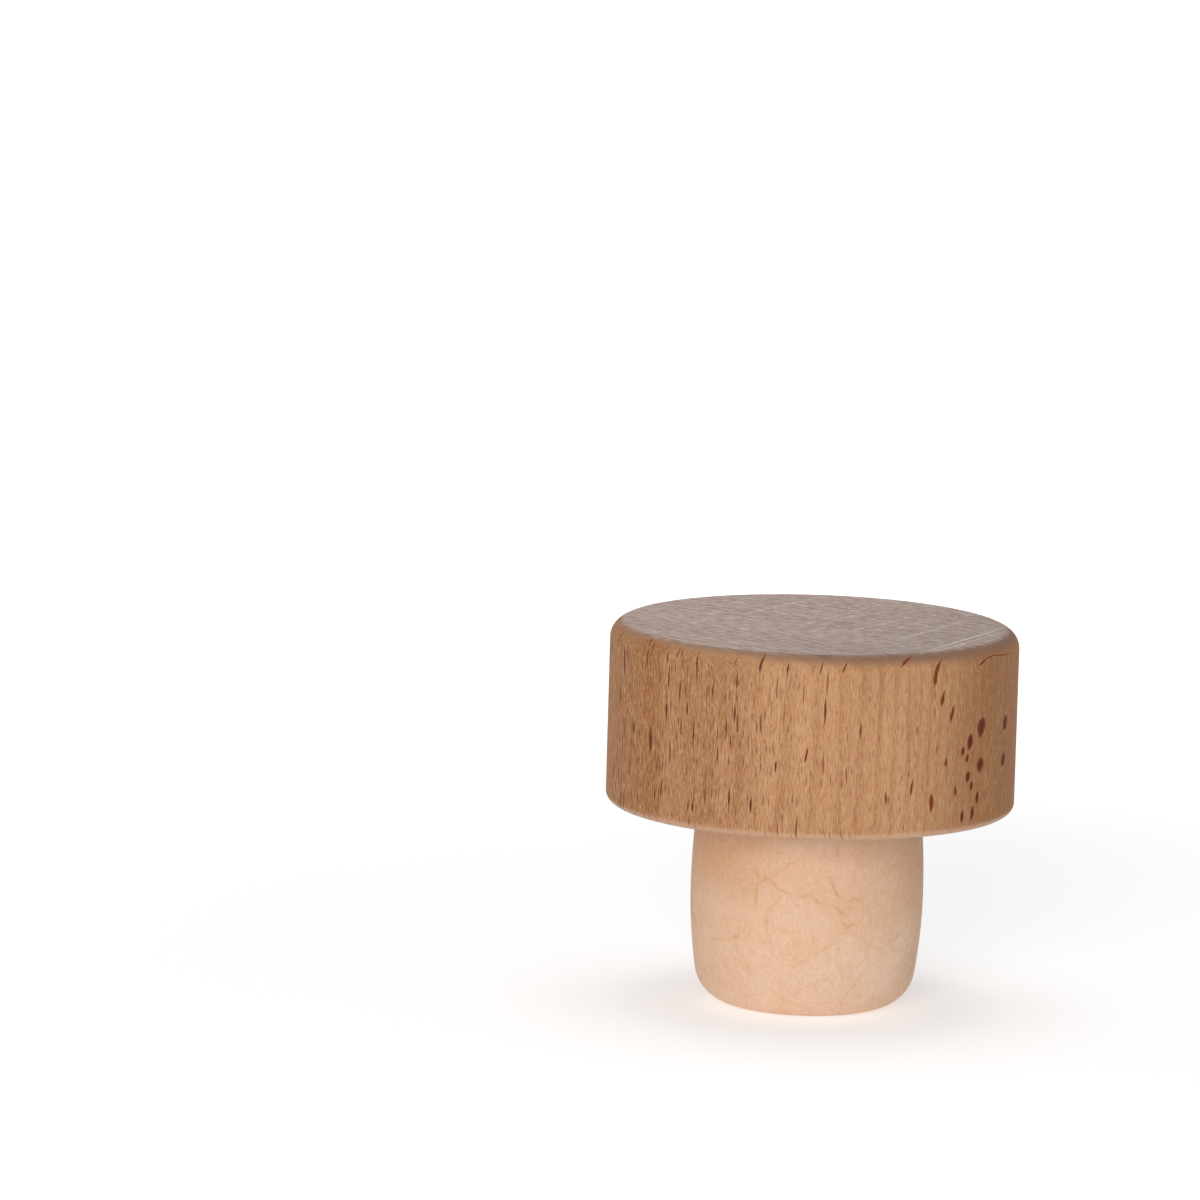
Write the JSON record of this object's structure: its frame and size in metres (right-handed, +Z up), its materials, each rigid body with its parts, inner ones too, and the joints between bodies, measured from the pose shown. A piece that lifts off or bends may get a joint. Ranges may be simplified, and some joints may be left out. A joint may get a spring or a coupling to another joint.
{
  "type": "cork stopper",
  "caption": "T-shaped bottle stopper: turned beech head with a rounded rim, glued on a smooth barrel-shaped cork shank that stands on its flat end.",
  "frame": {"origin": "centre of the shank's flat end face, which the stopper stands on", "axes": "+Z up along the stopper's axis, from the shank's end to the head's top face; +X and +Y are free, and the wood's rays run about 60 degrees from +X"},
  "size_m": [0.034, 0.034, 0.0319],
  "materials": {
    "wooden_head": "sanded beech, bare or lightly waxed, grain along the axis",
    "cork_shank": "smooth peach-coloured moulded cork with faint brown veins"
  },
  "bodies": {
    "root": {"wooden_head": "wooden_head", "cork_shank": "cork_shank"}
  },
  "joints": []
}
